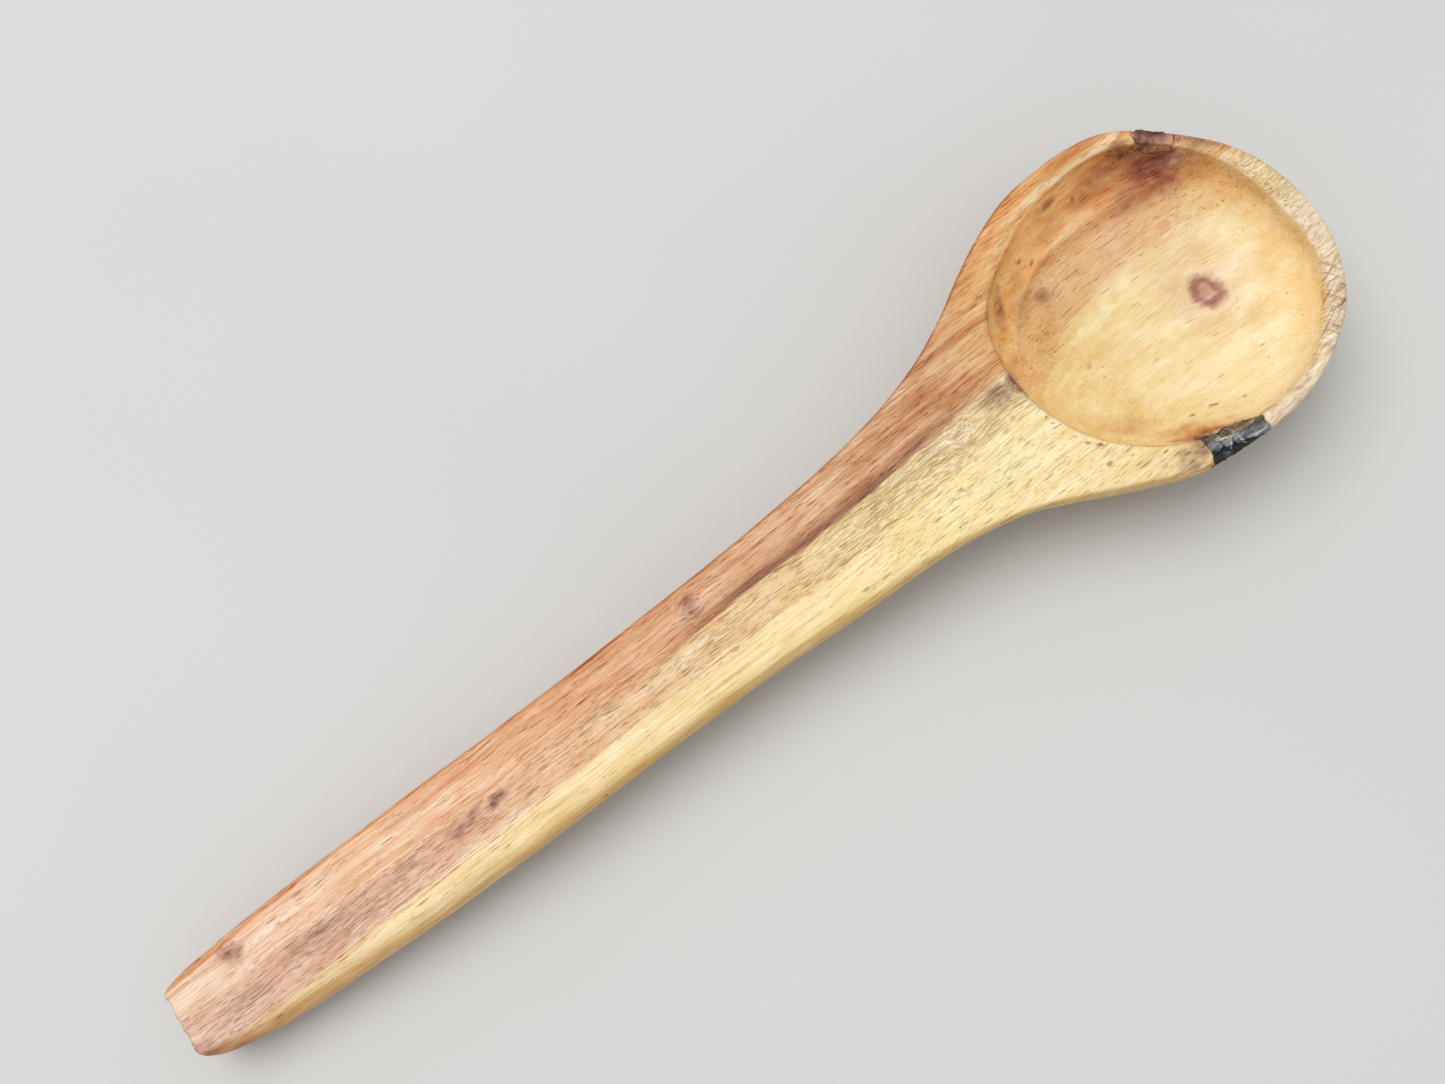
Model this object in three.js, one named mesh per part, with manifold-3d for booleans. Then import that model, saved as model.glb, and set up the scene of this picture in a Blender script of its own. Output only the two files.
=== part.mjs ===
// A hand-carved hardwood spoon, 200 mm long, lying on its back with the hollow facing up.
// One blank makes the handle and the bowl. Two foreign bodies are grown into the rim of the bowl:
// a strip of dark bark and a dead knot, each sitting in its own pocket.
//
// Row frame: +X runs from the handle end to the tip of the bowl, +Z is up, and the origin is under
// the middle of the spoon, on the surface that it rests on.
// Carving frame: x from the handle end, y across from the middle of the bowl, and z down from the
// flat top that the handle shares with the rim. The carving frame is tilted into the row frame.
import * as THREE from "three";
import { mergeVertices } from "three/addons/utils/BufferGeometryUtils.js";
import Module from "manifold-3d";

const wasm = await Module();
wasm.setup();

// Overall sizes, in millimetres.
const spoonLength = 200;
const bowlRadius = 26;
const bowlDepth = 16.6;
const handleDepth = 10;
const restCut = 0.35; // wood shaved off where the spoon touches the table
const heelX = 3; // where the handle end touches the table
const heelDepth = 9;

// Bowl outline: a slightly squared circle whose middle is this far along the spoon.
const bowlCentreX = spoonLength - bowlRadius;
const bowlPlanPower = 2.08;
const bowlSidePower = 2.8;
const tipTurn = THREE.MathUtils.degToRad(84); // the last turn of the outline, cut flat at the tip

// Hollow of the bowl.
const hollowCentre = new THREE.Vector2(172.8, -0.6);
const hollowRadii = new THREE.Vector2(23.7, 22.8);
const hollowDepth = 12;
const hollowPower = 2.1;
const hollowLean = 4; // how much nearer to the tip the middle of the floor is than the middle of the edge
const hollowBevel = 0.5;

// Bark strip and dead knot: each crosses the rim in a direction from the bowl's middle, over a
// length along the rim, and its underside falls from the hollow's wall to the outer wall.
const growths = {
  bark_inclusion: { direction: THREE.MathUtils.degToRad(-106), length: 9.8 },
  dead_knot: { direction: THREE.MathUtils.degToRad(49.5), length: 5.8 },
};
const growthInnerReach = 21.5; // from the bowl's middle to the inner end of a growth
const growthInnerDepth = 1.2;
const growthOuterReach = 29; // past the outer wall
const growthOuterDepth = 7;
const growthGap = 0.3; // clearance between each growth and its pocket
const aboveRim = 4; // cutters stand this far above the rim

// Stations along the handle and the shoulder:
// [x, reach to -Y, reach to +Y, depth, edge radius on the -Y side, edge radius on the +Y side].
const stations = [
  [0.0, 4.4, 5.5, 7.9, 0.6, 0.6],
  [1.0, 5.4, 6.2, 8.6, 0.9, 0.7],
  [4.0, 6.7, 6.9, 9.0, 1.4, 0.9],
  [12.0, 8.0, 7.3, 9.2, 1.8, 1.2],
  [24.0, 8.9, 7.5, 9.4, 2.0, 1.2],
  [40.0, 9.7, 7.4, 9.7, 2.0, 1.0],
  [60.0, 10.0, 7.3, handleDepth, 2.0, 1.0],
  [80.0, 10.2, 7.4, handleDepth, 2.0, 1.0],
  [100.0, 10.7, 7.9, handleDepth, 1.9, 1.0],
  [116.0, 11.4, 8.8, handleDepth, 1.7, 1.0],
  [128.0, 12.3, 10.2, 10.3, 1.4, 1.0],
  [138.0, 14.3, 12.5, 11.4, 1.2, 1.0],
  [146.0, 17.7, 15.8, 13.0, 1.2, 0.9],
  [154.0, 21.6, 20.3, 14.6, 1.1, 0.8],
  [161.0, 24.5, 23.6, 15.8, 0.9, 0.7],
  [167.5, 25.7, 25.6, 16.4, 0.7, 0.6],
  [bowlCentreX, bowlRadius, bowlRadius, bowlDepth, 0.6, 0.6],
];

const handlePower = 2.8;
const stepsPerStation = 3; // cross-sections from one station to the next
const tipSteps = 16;
const filletSteps = 3;
const lowerSteps = 26;
const topSteps = 5;
const hollowSteps = 12; // from the hollow's floor up to its edge
const hollowTurns = 48; // around the hollow

const materials = {
  spoon_body: { color: 0xd9a765, roughness: 0.45, metalness: 0 },
  bark_inclusion: { color: 0x2b2a2c, roughness: 0.8, metalness: 0 },
  dead_knot: { color: 0x54413c, roughness: 0.8, metalness: 0 },
};

// A quarter of a superellipse: how much is left of 1 at the given share of the way out.
function falloff(share, power) {
  return Math.pow(1 - Math.pow(Math.min(Math.abs(share), 1), power), 1 / power);
}

// One closed outline across the spoon, seen from the tip, as points in the carving frame.
function crossSection([x, left, right, depth, leftRadius, rightRadius]) {
  const ring = [];
  const place = (y, z) => ring.push(new THREE.Vector3(x, y, z));
  for (let i = 0; i <= filletSteps; i += 1) {
    const turn = (i / filletSteps) * (Math.PI / 2);
    place(right - rightRadius * (1 - Math.cos(turn)), -rightRadius * (1 - Math.sin(turn)));
  }
  const topStart = right - rightRadius;
  const topEnd = leftRadius - left;
  for (let i = 1; i < topSteps; i += 1) {
    place(THREE.MathUtils.lerp(topStart, topEnd, i / topSteps), 0);
  }
  for (let i = 0; i <= filletSteps; i += 1) {
    const turn = (i / filletSteps) * (Math.PI / 2);
    place(leftRadius * (1 - Math.sin(turn)) - left, -leftRadius * (1 - Math.cos(turn)));
  }
  const middle = (right - left) / 2;
  const halfWidth = (right + left) / 2;
  for (let i = 1; i < lowerSteps; i += 1) {
    const turn = (i / lowerSteps) * Math.PI;
    const across = -Math.sign(Math.cos(turn)) * Math.pow(Math.abs(Math.cos(turn)), 2 / handlePower);
    const radius = across < 0 ? leftRadius : rightRadius;
    const down = radius + (depth - radius) * Math.pow(Math.sin(turn), 2 / handlePower);
    place(middle + halfWidth * across, -down);
  }
  return ring;
}

// Cross-sections from the handle end to the middle of the bowl, on smooth curves through the
// stations, and then round the tip.
function bodySections() {
  const reach = new THREE.CatmullRomCurve3(
    stations.map(([x, left, right]) => new THREE.Vector3(x, left, right)),
    false,
    "catmullrom",
  );
  const thickness = new THREE.CatmullRomCurve3(
    stations.map(([, , , depth, left, right]) => new THREE.Vector3(depth, left, right)),
    false,
    "catmullrom",
  );
  const sections = [];
  const count = (stations.length - 1) * stepsPerStation;
  for (let i = 0; i < count; i += 1) {
    const outline = reach.getPoint(i / count);
    const edge = thickness.getPoint(i / count);
    sections.push(crossSection([outline.x, outline.y, outline.z, edge.x, edge.y, edge.z]));
  }
  const edgeRadius = stations[stations.length - 1][4];
  for (let i = 0; i <= tipSteps; i += 1) {
    const out = Math.sin((i / tipSteps) * tipTurn);
    const halfWidth = bowlRadius * falloff(out, bowlPlanPower);
    const depth = edgeRadius + (bowlDepth - edgeRadius) * falloff(out, bowlSidePower);
    const x = bowlCentreX + (bowlRadius * out) / Math.sin(tipTurn);
    sections.push(crossSection([x, halfWidth, halfWidth, depth, edgeRadius, edgeRadius]));
  }
  return sections;
}

// A closed surface through rings of equal length, with a flat fan at each end.
function loft(rings) {
  const size = rings[0].length;
  const points = rings.flat();
  const faces = [];
  for (let r = 0; r + 1 < rings.length; r += 1) {
    for (let i = 0; i < size; i += 1) {
      const a = r * size + i;
      const b = r * size + ((i + 1) % size);
      faces.push(a, b, a + size, b, b + size, a + size);
    }
  }
  [0, rings.length - 1].forEach((r) => {
    const centre = rings[r].reduce((sum, p) => sum.add(p), new THREE.Vector3()).divideScalar(size);
    const hub = points.push(centre) - 1;
    for (let i = 0; i < size; i += 1) {
      const a = r * size + i;
      const b = r * size + ((i + 1) % size);
      faces.push(...(r === 0 ? [hub, b, a] : [hub, a, b]));
    }
  });
  const geometry = new THREE.BufferGeometry().setFromPoints(points);
  geometry.setIndex(faces);
  return geometry;
}

// The space inside the bowl, closed above the rim: a turned solid stretched to the hollow's plan
// and leaning towards the tip as it goes down.
function hollowShape() {
  const profile = [new THREE.Vector2(0, -hollowDepth)];
  for (let i = 1; i < hollowSteps; i += 1) {
    const turn = (i / hollowSteps) * (Math.PI / 2);
    const share = Math.pow(Math.sin(turn), 2 / hollowPower);
    profile.push(new THREE.Vector2(share, -hollowDepth * falloff(share, hollowPower)));
  }
  profile.push(new THREE.Vector2(1, -hollowBevel));
  profile.push(new THREE.Vector2(1 + (hollowBevel + aboveRim) / hollowRadii.y, aboveRim));
  profile.push(new THREE.Vector2(0, aboveRim));
  const geometry = new THREE.LatheGeometry(profile, hollowTurns);
  geometry.rotateX(Math.PI / 2);
  geometry.scale(hollowRadii.x, hollowRadii.y, 1);
  geometry.applyMatrix4(new THREE.Matrix4().makeShear(0, 0, 0, 0, -hollowLean / hollowDepth, 0));
  geometry.translate(hollowCentre.x, hollowCentre.y, 0);
  return geometry;
}

// A wedge across the rim, grown by the given clearance: the shape of a growth or of its pocket.
function rimWedge({ direction, length }, clearance) {
  const inner = growthInnerReach - clearance;
  const side = new THREE.Shape([
    new THREE.Vector2(inner, aboveRim),
    new THREE.Vector2(inner, -growthInnerDepth - clearance),
    new THREE.Vector2(growthOuterReach, -growthOuterDepth - clearance),
    new THREE.Vector2(growthOuterReach, aboveRim),
  ]);
  const depth = length + 2 * clearance;
  const geometry = new THREE.ExtrudeGeometry(side, { depth, bevelEnabled: false });
  geometry.translate(0, 0, -depth / 2);
  geometry.rotateX(Math.PI / 2);
  geometry.rotateZ(direction);
  geometry.translate(bowlCentreX, 0, 0);
  return geometry;
}

function toSolid(geometry) {
  const bare = geometry.clone();
  bare.deleteAttribute("normal");
  bare.deleteAttribute("uv");
  const merged = mergeVertices(bare, 1e-4);
  return new wasm.Manifold(
    new wasm.Mesh({
      numProp: 3,
      vertProperties: merged.attributes.position.array,
      triVerts: new Uint32Array(merged.index.array),
    }),
  );
}

function toGeometry(solid) {
  const made = solid.getMesh();
  const geometry = new THREE.BufferGeometry();
  geometry.setAttribute("position", new THREE.BufferAttribute(made.vertProperties, 3));
  geometry.setIndex(new THREE.BufferAttribute(made.triVerts, 1));
  return geometry;
}

// The body with its pockets, and what fills them, still in the carving frame.
function carveSpoon() {
  const rim = toSolid(loft(bodySections())).subtract(toSolid(hollowShape()));
  const carved = { spoon_body: rim };
  Object.entries(growths).forEach(([name, growth]) => {
    carved[name] = rim.intersect(toSolid(rimWedge(growth, 0)));
    carved.spoon_body = carved.spoon_body.subtract(toSolid(rimWedge(growth, growthGap)));
  });
  return carved;
}

// The move from the carving frame to the row frame: the handle end and the bowl both reach the
// table, a little below it so that a flat can be cut, with the spoon centred over the origin.
function layDown(bodyGeometry) {
  const tilt = Math.atan((bowlDepth - heelDepth) / (bowlCentreX - heelX));
  const turned = new THREE.Matrix4().makeRotationY(-tilt);
  const box = bodyGeometry.clone().applyMatrix4(turned);
  box.computeBoundingBox();
  const middle = box.boundingBox.getCenter(new THREE.Vector3());
  const lowest = box.boundingBox.min.z;
  return turned.premultiply(
    new THREE.Matrix4().makeTranslation(-middle.x, -middle.y, -lowest - restCut),
  );
}

// Everything below the table.
function belowTable() {
  const slab = new THREE.BoxGeometry(2 * spoonLength, spoonLength, spoonLength);
  slab.translate(0, 0, -spoonLength / 2);
  return toSolid(slab);
}

const carved = carveSpoon();
const lay = layDown(toGeometry(carved.spoon_body));
const spoon = new THREE.Group();
Object.entries(carved).forEach(([name, solid]) => {
  const laid = toSolid(toGeometry(solid).applyMatrix4(lay)).subtract(belowTable());
  const mesh = new THREE.Mesh(toGeometry(laid), new THREE.MeshStandardMaterial(materials[name]));
  mesh.name = name;
  spoon.add(mesh);
});

export default spoon;
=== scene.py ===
"""A hand-carved, oiled hardwood spoon with ingrown bark and a dead knot in the rim of its bowl.

Shapes are worked out in the carving frame, in millimetres: x from the handle end to the bowl tip,
y across from the middle of the bowl, and z up from the flat top that the handle shares with the
rim. lay_down() takes them to the row frame, in metres, where the spoon lies on its back.
"""
import math
from functools import reduce
import bpy
import numpy as np
from mathutils import Matrix, Vector


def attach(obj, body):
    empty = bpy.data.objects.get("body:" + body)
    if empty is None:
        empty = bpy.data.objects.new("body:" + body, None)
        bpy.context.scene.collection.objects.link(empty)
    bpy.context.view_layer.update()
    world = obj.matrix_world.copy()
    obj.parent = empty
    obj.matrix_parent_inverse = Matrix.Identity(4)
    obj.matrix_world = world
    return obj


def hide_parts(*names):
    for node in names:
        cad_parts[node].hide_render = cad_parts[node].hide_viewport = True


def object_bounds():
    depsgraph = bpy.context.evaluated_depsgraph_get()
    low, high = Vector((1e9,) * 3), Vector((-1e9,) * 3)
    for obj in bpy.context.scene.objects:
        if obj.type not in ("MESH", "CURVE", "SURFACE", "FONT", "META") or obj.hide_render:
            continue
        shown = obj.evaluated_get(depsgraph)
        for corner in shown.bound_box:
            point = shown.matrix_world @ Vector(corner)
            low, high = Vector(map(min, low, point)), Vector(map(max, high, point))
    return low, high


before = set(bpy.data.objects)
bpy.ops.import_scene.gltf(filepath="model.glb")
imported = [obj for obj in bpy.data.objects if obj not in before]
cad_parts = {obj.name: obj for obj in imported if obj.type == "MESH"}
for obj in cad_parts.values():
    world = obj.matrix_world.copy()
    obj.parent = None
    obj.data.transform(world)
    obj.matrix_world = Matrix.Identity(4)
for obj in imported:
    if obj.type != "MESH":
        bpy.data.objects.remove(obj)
cad_low, cad_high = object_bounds()

# -------- driving sizes, in millimetres
MM = 0.001
LENGTH = 200.0
BOWL_RADIUS = 26.0
BOWL_DEPTH = 16.6
BOWL_X = LENGTH - BOWL_RADIUS
HANDLE_DEPTH = 10.0
SIDE_POWER = 2.8
HEEL_X = 3.0
HEEL_DEPTH = 9.0
TILT = math.atan((BOWL_DEPTH - HEEL_DEPTH) / (BOWL_X - HEEL_X))

# x, reach to -Y, reach to +Y, depth, edge radius on the -Y side, edge radius on the +Y side
STATIONS = np.array([
    (0, 4.4, 5.5, 7.9, 1, 0.6),
    (1, 5.4, 6.2, 8.6, 1.6, 0.7),
    (4, 6.7, 6.9, 9, 2.4, 0.9),
    (12, 8, 7.3, 9.2, 2.8, 0.9),
    (24, 8.9, 7.5, 9.4, 2.7, 0.9),
    (40, 9.7, 7.4, 9.7, 2.4, 0.9),
    (60, 10, 7.3, HANDLE_DEPTH, 2.1, 0.9),
    (80, 10.2, 7.4, HANDLE_DEPTH, 2, 0.9),
    (100, 10.7, 7.9, HANDLE_DEPTH, 1.9, 0.9),
    (116, 11.4, 8.8, HANDLE_DEPTH, 1.7, 0.9),
    (128, 12.3, 10.2, 10.3, 1.2, 0.8),
    (138, 14.3, 12.5, 11.4, 0.7, 0.7),
    (146, 17.7, 15.8, 13, 0.6, 0.6),
    (154, 21.6, 20.3, 14.6, 0.6, 0.5),
    (161, 24.5, 23.6, 15.8, 0.5, 0.4),
    (167.5, 25.7, 25.6, 16.4, 0.5, 0.4),
    (BOWL_X, 25.9, 26, BOWL_DEPTH, 0.5, 0.4),
])

# Reach of the bowl tip round its middle, from -90 degrees at -Y to 90 degrees at +Y.
TIP_ANGLES = (-90, -60, -45, -30, -15, 0, 15, 30, 45, 55, 67, 80, 90)
TIP_REACH = (25.95, 26.2, 26.6, 26.6, 26.4, 26.0, 25.8, 25.9, 25.8, 26.1, 26.6, 26.2, 25.95)

# Reach of the hollow's edge round its own middle, every 30 degrees from the tip.
HOLLOW_MIDDLE = (172.8, -0.6)
HOLLOW_REACH = (23.6, 24.6, 24.8, 22.9, 22.4, 24.1, 23.8, 23.2, 22.6, 22.8, 23.6, 24.3)
HOLLOW_DEPTH = 12.0
HOLLOW_POWER = 2.1
HOLLOW_LEAN = 4.0  # how much nearer to the tip the middle of the floor is

# The rim: a bevel round part of the hollow, and an outer facet that falls away.
BEVEL_WIDTH = 1.35
BEVEL_SLOPE = 0.62
FACET_WIDTH = 2.3
FACET_SLOPE = 0.36

# Knife cuts along the -Y edge of the handle: degrees above level, and bite.
KNIFE_CUTS = ((14, 0.16), (38, 0.2), (62, 0.14))

# The chamfer along the +Y edge of the handle near its end: x, and the y where it leaves the top.
CHAMFER_X = (0, 8, 14, 20, 26, 40, 60, 80, 200)
CHAMFER_Y = (5.2, 5.65, 6.05, 6.35, 6.55, 6.75, 7.2, 14, 99)

# The dead knot crosses the rim on this line out from the bowl's middle. In coordinates along and
# across that line, but measured from the carving frame's origin, the middle is at these places.
KNOT_TURN = math.radians(49.5)
KNOT_ALONG = BOWL_X * math.cos(KNOT_TURN)
KNOT_ACROSS = -BOWL_X * math.sin(KNOT_TURN)
KNOT_INNER = 22.9  # how far out it starts, and half of its width
KNOT_HALF = 3.2

# The bark lies between these two x. Its ridge passes through the third and its y, and moves
# towards -Y by the slope.
BARK_START = 164.0
BARK_END = 172.8
RIDGE_X = 167.3
RIDGE_Y = -23.4
RIDGE_SLOPE = 0.3

# Both growths thin towards the hollow: depth at a reach from the bowl's middle, and its slope.
GROWTH_DEPTH = 2.6
GROWTH_REACH = 21.5
GROWTH_SLOPE = 0.6
GROWTH_OVERLAP = 0.05  # how far each growth reaches into the wood round its pocket

# The tree's growth rings slope down towards +Y. Two of them part the colours of the wood, and
# meet the top of the spoon at these places: x, then y.
SAP_RING = np.array([
    (0, -5.4), (40, -5.4), (60, -5.2), (80, -4.6), (110, -4.3), (130, -3.4), (148, -2.1),
    (152, -5.0), (158, -5.5), (162, -4.1), (167, -2.9), (173, -2.1), (180, -1.9), (200, -1.0),
])
HEART_RING = np.array([
    (0, 0.6), (30, 0.6), (50, 0.0), (70, 0.0), (90, 0.6), (110, 0.9), (120, 1.2), (130, 1.9),
    (140, 2.7), (148, 3.1), (153, -0.9), (159, 2.6), (166, 6.3), (173, 6.4), (181, 5.3), (189, 5.2),
    (200, 9.5),
])
SAP_SLOPE = 0.85
HEART_SLOPE = 1.28

# A line on top of the spoon that keeps to one growth ring: x, then y.
FLOW_LINE = np.array([(0, -2.4), (60, -2.6), (110, -1.8), (148, 0.2), (200, 1.5)])
RING_PITCH = 2.6

# Knots that the fibres flow round: x, y, radius.
KNOTS = (
    (11.2, 4.3, 1.0), (91.8, 4.1, 1.1), (184.9, -3.0, 2.6), (164.2, 11.6, 1.6), (172.0, 21.3, 1.2),
    (149.2, 2.2, 1.0), (190.0, 18.5, 3.0), (167.5, -24.5, 3.0), (137.8, 0.2, 1.0),
)


# -------- curves and noise
def smooth_rows(rows, steps=12):
    """Rows on a smooth curve through the given rows, as many steps from each to the next."""
    ends = [2 * rows[0] - rows[1], 2 * rows[-1] - rows[-2]]
    p = np.vstack([ends[0], rows, ends[1]])
    t = np.linspace(0, 1, steps, endpoint=False)[:, None]
    made = []
    for p0, p1, p2, p3 in zip(p, p[1:], p[2:], p[3:]):
        cubic = 3 * p1 - p0 - 3 * p2 + p3
        square = 2 * p0 - 5 * p1 + 4 * p2 - p3
        made.append(0.5 * (2 * p1 + (p2 - p0) * t + square * t**2 + cubic * t**3))
    return np.vstack(made + [rows[-1:]])


def smooth_round(reach, degrees):
    """Reach at any angle, on a smooth closed curve through evenly spaced values."""
    count = len(reach)
    angles = np.arange(-1, count + 2) * 360.0 / count
    rows = np.column_stack([angles, np.take(reach, np.arange(-1, count + 2), mode="wrap")])
    dense = smooth_rows(rows)
    return np.interp(np.mod(degrees, 360.0), dense[:, 0], dense[:, 1])


def smooth_step(value, start, end):
    """Goes smoothly from 0 to 1 as the value goes from start to end."""
    share = np.clip((value - start) / (end - start), 0, 1)
    return share * share * (3 - 2 * share)


def waves(points, seed, length, stretch=(1, 1, 1), count=14):
    """Smooth noise about 0, made of plane waves near the given wavelength in millimetres."""
    draw = np.random.default_rng(seed)
    total = np.zeros(len(points))
    for _ in range(count):
        way = draw.normal(size=3)
        way *= 2 * math.pi / (length * draw.uniform(0.6, 1.6) * np.linalg.norm(way))
        way = way / np.array(stretch)
        total += np.sin(points @ way + draw.uniform(0, 2 * math.pi))
    return total / math.sqrt(count)


def round_max(a, b, radius):
    """The inside of both shapes, with the edge where they meet rounded to the radius."""
    over = np.hypot(np.maximum(a + radius, 0), np.maximum(b + radius, 0))
    return np.minimum(-radius, np.maximum(a, b)) + over


DENSE = smooth_rows(STATIONS)
HALF_SLOPE = np.gradient((DENSE[:, 1] + DENSE[:, 2]) / 2, DENSE[:, 0])
TIP_DENSE = smooth_rows(np.column_stack([TIP_ANGLES, TIP_REACH]).astype(float))
TIP_MIDDLE = (STATIONS[-1, 2] - STATIONS[-1, 1]) / 2
SAP_CURVE = smooth_rows(SAP_RING)
HEART_CURVE = smooth_rows(HEART_RING)


def lay_down():
    """The move from the carving frame in millimetres to the row frame in metres."""
    turn = Matrix.Rotation(-TILT, 4, "Y")
    high_x = LENGTH - STATIONS[-1, 4]
    rise = cad_high.z - high_x * math.sin(TILT) * MM
    start = cad_low.x - STATIONS[0, 4] * math.sin(TILT) * MM
    return Matrix.Translation((start, 0, rise)) @ turn @ Matrix.Scale(MM, 4)


LAY = lay_down()
FLOOR_DEPTH = LAY.translation.z / MM


# -------- the carved shape
def outline(x, y):
    """Share of the way out to the spoon's edge, the length of one share, depth and edge radius."""
    left, right, depth, left_edge, right_edge = (
        np.interp(x, DENSE[:, 0], DENSE[:, i]) for i in range(1, 6)
    )
    middle = (right - left) / 2
    half = (right + left) / 2
    lean = 1 / np.hypot(1, np.interp(x, DENSE[:, 0], HALF_SLOPE))
    dx, dy = x - BOWL_X, y - TIP_MIDDLE
    tip = np.interp(np.degrees(np.arctan2(dy, dx)), TIP_DENSE[:, 0], TIP_DENSE[:, 1])
    beyond = dx > 0
    share = np.where(beyond, np.hypot(dx, dy) / tip, np.abs(y - middle) / half)
    length = np.where(beyond, tip, half * lean)
    side = smooth_step(y - middle, -3, 3)
    return share, length, depth, left_edge + (right_edge - left_edge) * side


def bulge(share, length, down, depth, power):
    """Rough distance to a superellipse: share of 1 across, depth straight down."""
    fall = np.maximum(down, 0) / depth
    grow = np.maximum((share**power + fall**power) ** (1 / power), 1e-3)
    across = (share / grow) ** (power - 1) / length
    along = (fall / grow) ** (power - 1) / depth
    return (grow - 1) / np.maximum(np.hypot(across, along), 1e-4)


def hollow(points):
    """Share of the way out to the hollow's edge, and that edge's reach and angle in degrees."""
    x, y, z = points.T
    dx = x - HOLLOW_MIDDLE[0] + HOLLOW_LEAN * np.clip(z, -HOLLOW_DEPTH, 0) / HOLLOW_DEPTH
    dy = y - HOLLOW_MIDDLE[1]
    degrees = np.degrees(np.arctan2(dy, dx))
    reach = smooth_round(HOLLOW_REACH, degrees)
    return np.hypot(dx, dy) / reach, reach, degrees


def hollow_depth(points):
    """How far above the hollow's surface a point is; less than 0 in the wood."""
    share, reach, _ = hollow(points)
    return -bulge(share, reach, -points[:, 2], HOLLOW_DEPTH, HOLLOW_POWER)


def worn_edge(degrees):
    """1 where the hollow's edge is rubbed soft, on the -Y side past the bark."""
    return smooth_step(degrees, -100, -82) * (1 - smooth_step(degrees, -45, -20))


def bevel_share(degrees):
    """1 where a bevel runs round the hollow's edge."""
    return 1 - smooth_step(np.abs(degrees - 35), 70, 120)


def facet_share(degrees):
    """1 where the outer part of the rim falls away as a facet."""
    return smooth_step(degrees, 14, 40) * (1 - smooth_step(degrees, 128, 152))


def top_height(points, inward):
    """The top of the spoon: flat, with a bevel round the hollow and a falling outer facet."""
    flat = points * (1, 1, 0)
    share, reach, degrees = hollow(flat)
    out = (share - 1) * reach
    bevel = BEVEL_WIDTH * bevel_share(degrees) * (1 - 0.3 * smooth_step(-degrees, 0, 30))
    into = np.clip(bevel - out + 0.1 * waves(flat, 4, 9), 0, 3)
    height = -BEVEL_SLOPE * into * (1 - worn_edge(degrees))
    facet = np.maximum(FACET_WIDTH + 0.15 * waves(flat, 6, 12) - inward, 0)
    height -= FACET_SLOPE * facet * facet_share(degrees)
    return height + 0.06 * waves(flat, 3, 16, stretch=(2, 1, 1))


def handle_cuts(field, points):
    """Whittles the handle's edges: long knife cuts along -Y and a chamfer along +Y near its end."""
    x, y, z = points.T
    left = np.interp(x, DENSE[:, 0], DENSE[:, 1])
    radius = np.interp(x, DENSE[:, 0], DENSE[:, 4])
    fade = 2 * smooth_step(x, 46, 80)
    for number, (degrees, bite) in enumerate(KNIFE_CUTS):
        turn = math.radians(degrees)
        deep = bite + 0.1 * waves(points * (1, 0, 0), 31 + number, 26)
        cut = -(y + left - radius) * math.cos(turn) + (z + radius) * math.sin(turn)
        field = round_max(field, cut - radius + deep - fade, 0.1)
    chamfer = 0.77 * (y - np.interp(x, CHAMFER_X, CHAMFER_Y)) + 0.64 * z
    return round_max(field, chamfer, 0.12)


def blank_field(points):
    """Less than 0 inside the spoon before it is hollowed out."""
    x, y, z = points.T
    share, length, depth, edge = outline(x, y)
    side = bulge(share, length, -z - edge, depth - edge, SIDE_POWER)
    side = side + 0.1 * waves(points, 5, 14, stretch=(2.2, 1, 1))
    top = z - top_height(points, (1 - share) * length)
    field = handle_cuts(round_max(top, side, edge), points)
    ragged = 0.16 * waves(points * (0, 1, 0.5), 11, 2.4) + 0.08 * waves(points * (0, 1, 1), 12, 0.9)
    field = round_max(field, ragged - x + 0.2, 0.45)
    rest = -(x * math.sin(TILT) + z * math.cos(TILT)) - FLOOR_DEPTH
    return round_max(field, rest, 0.25)


def spoon_field(points):
    """Less than 0 inside the hollowed spoon, growths and all."""
    degrees = hollow(points)[2]
    inside = hollow_depth(points) - 0.07 * waves(points, 8, 11)
    return round_max(blank_field(points), inside, 0.18 + 1.5 * worn_edge(degrees))


def growth_floor(points):
    """Less than 0 above the sloping underside of a growth."""
    reach = np.hypot(points[:, 0] - BOWL_X, points[:, 1])
    floor = GROWTH_DEPTH + GROWTH_SLOPE * (reach - GROWTH_REACH)
    return (-points[:, 2] - floor) / math.hypot(1, GROWTH_SLOPE)


def bark_region(points):
    """Less than 0 where bark has grown into the rim and the wall of the hollow."""
    x, y, _ = points.T
    across = 0.30 * (x - 167.5) + 0.95 * (y + 21.3)
    ends = np.maximum(0.94 * (BARK_START + 0.22 * (y + 20.7) - x), x - BARK_END)
    ragged = 0.18 * waves(points, 21, 3.2) + 0.08 * waves(points, 22, 1.2)
    skin = -hollow_depth(points) - 1.5
    floor = growth_floor(points) + 0.45 * waves(points, 30, 3.5)
    sides = round_max(across, ends, 0.9)
    return round_max(sides, np.minimum(floor, skin), 0.9) + ragged


def knot_axes(points):
    """How far each point is out from the bowl's middle towards the dead knot, and off that line."""
    dx, y = points[:, 0] - BOWL_X, points[:, 1]
    cos, sin = math.cos(KNOT_TURN), math.sin(KNOT_TURN)
    return dx * cos + y * sin, y * cos - dx * sin


def knot_region(points):
    """Less than 0 in the dead knot."""
    out, off = knot_axes(points)
    ends = np.abs(off + 0.2) - KNOT_HALF
    inner = KNOT_INNER - out
    ragged = 0.3 * waves(points, 23, 2.4) + 0.12 * waves(points, 24, 1.0)
    return round_max(round_max(inner, ends, 2.4), growth_floor(points), 2.2) + ragged


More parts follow.
